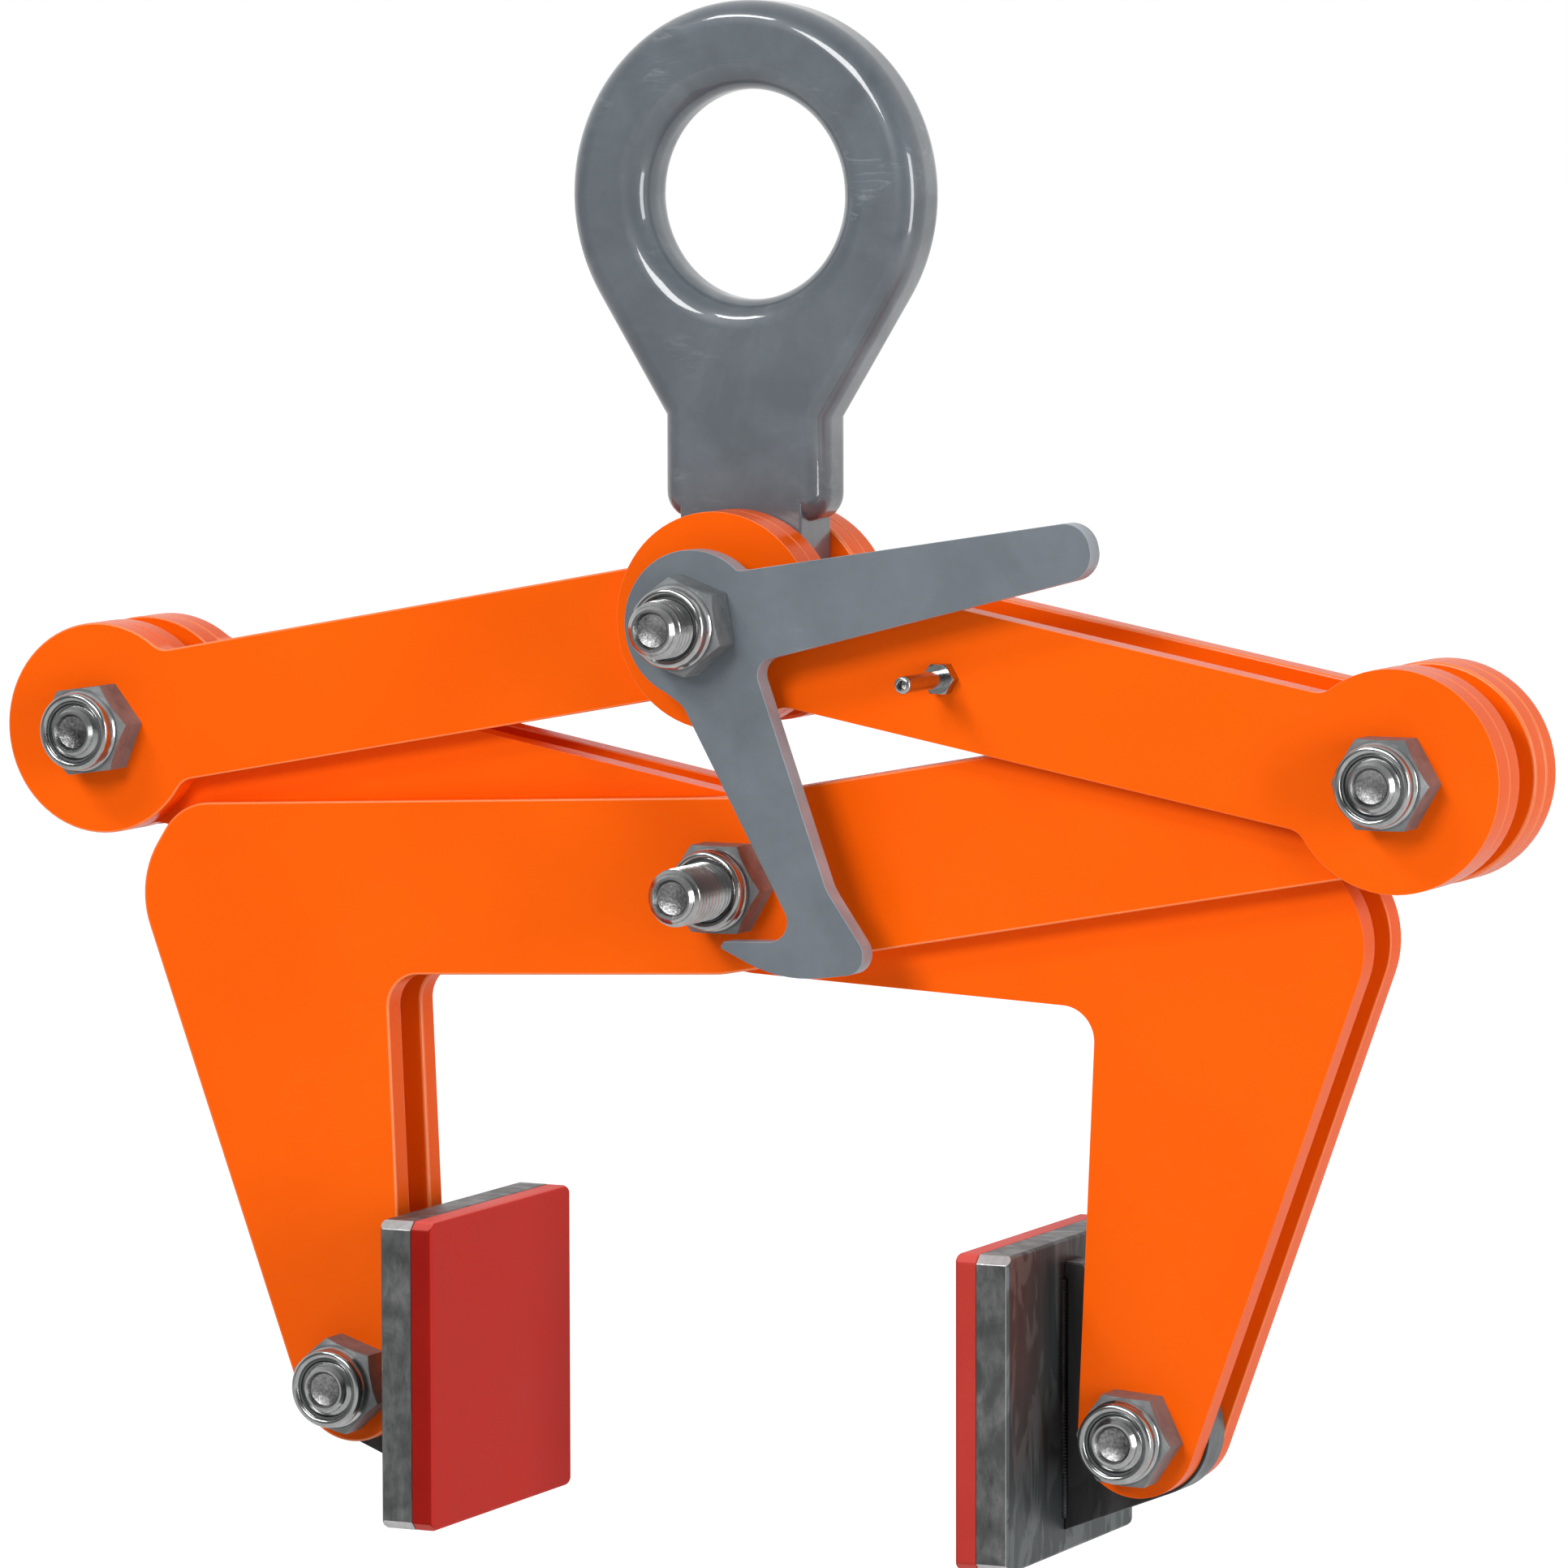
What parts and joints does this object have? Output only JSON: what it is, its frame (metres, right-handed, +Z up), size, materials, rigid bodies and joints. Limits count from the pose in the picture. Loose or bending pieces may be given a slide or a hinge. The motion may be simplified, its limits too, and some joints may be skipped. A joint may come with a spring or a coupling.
{
  "type": "scissor lifting tongs",
  "caption": "Scissor lifting tongs with a forged eye, cranked flat arms, tilting faced grip pads and a gravity lock lever that holds the jaws open.",
  "frame": {"origin": "middle of the lifting eye's hole", "axes": "+X from the left pad to the right pad as the picture shows them, +Y from the front, where the lock lever is, to the back, +Z up"},
  "size_m": [0.5706, 0.1421, 0.5301],
  "materials": {
    "orange": "glossy orange paint",
    "eye": "satin grey paint",
    "lever": "satin grey paint with thin edges",
    "zinc": "bright zinc plate",
    "nylon": "dull plastic",
    "raw_steel": "dark mill scale",
    "facing": "matt red polyurethane"
  },
  "bodies": {
    "eye": {"lifting_eye": "eye"},
    "top_pivot": {"top_bolt": "zinc", "top_nut": "zinc", "top_nut_ring": "nylon", "lever_spacer": "zinc"},
    "lever": {"lock_lever": "lever"},
    "right_link": {"right_link_front": "orange", "right_link_rear": "orange", "right_pivot_bolt": "zinc", "right_pivot_nut": "zinc", "right_nut_ring": "nylon", "stop_pin": "zinc", "stop_pin_nut": "zinc"},
    "left_link": {"left_link_front": "orange", "left_link_rear": "orange", "left_pivot_bolt": "zinc", "left_pivot_nut": "zinc", "left_nut_ring": "nylon"},
    "left_arm": {"left_arm_front": "orange", "left_arm_rear": "orange", "left_arm_spacer": "zinc", "centre_bolt": "zinc", "centre_nut": "zinc", "centre_nut_ring": "nylon", "left_pad_bolt": "zinc", "left_pad_nut": "zinc", "left_pad_nut_ring": "nylon"},
    "right_arm": {"right_arm_front": "orange", "right_arm_rear": "orange", "right_arm_spacer": "zinc", "centre_spacer": "zinc", "right_pad_bolt": "zinc", "right_pad_nut": "zinc", "right_pad_nut_ring": "nylon"},
    "left_pad": {"left_pad_plate": "raw_steel", "left_pad_lug": "raw_steel", "left_pad_facing": "facing"},
    "right_pad": {"right_pad_plate": "raw_steel", "right_pad_lug": "raw_steel", "right_pad_facing": "facing"}
  },
  "joints": [
    {"name": "eye_swing", "type": "hinge", "parent": "eye", "child": "top_pivot", "pos_m": [0, 0, -0.145], "axis": [0, 1, 0], "range_deg": [-60, 60]},
    {"name": "scissor", "type": "hinge", "parent": "top_pivot", "child": "right_link", "pos_m": [0, 0, -0.145], "axis": [0, 1, 0], "range_deg": [0, 20]},
    {"name": "left_link_fold", "type": "hinge", "parent": "top_pivot", "child": "left_link", "pos_m": [0, 0, -0.145], "axis": [0, 1, 0], "range_deg": [-20, 0]},
    {"name": "left_arm_fold", "type": "hinge", "parent": "right_link", "child": "left_arm", "pos_m": [0.24777, 0, -0.191], "axis": [0, 1, 0], "range_deg": [-40, 0]},
    {"name": "right_arm_fold", "type": "hinge", "parent": "left_link", "child": "right_arm", "pos_m": [-0.24777, 0, -0.191], "axis": [0, 1, 0], "range_deg": [0, 40]},
    {"name": "left_pad_tilt", "type": "hinge", "parent": "left_arm", "child": "left_pad", "pos_m": [-0.1482, 0, -0.4192], "axis": [0, 1, 0], "range_deg": [-8, 25]},
    {"name": "right_pad_tilt", "type": "hinge", "parent": "right_arm", "child": "right_pad", "pos_m": [0.1482, 0, -0.4192], "axis": [0, -1, 0], "range_deg": [-8, 25]},
    {"name": "lock_lever_turn", "type": "hinge", "parent": "top_pivot", "child": "lever", "pos_m": [0, 0, -0.145], "axis": [0, -1, 0], "range_deg": [-11.87, 20]}
  ],
  "couplings": [
    {"joint": "left_link_fold", "follows": "scissor", "ratio": -1},
    {"joint": "left_arm_fold", "follows": "scissor", "ratio": -2},
    {"joint": "right_arm_fold", "follows": "scissor", "ratio": 2}
  ]
}
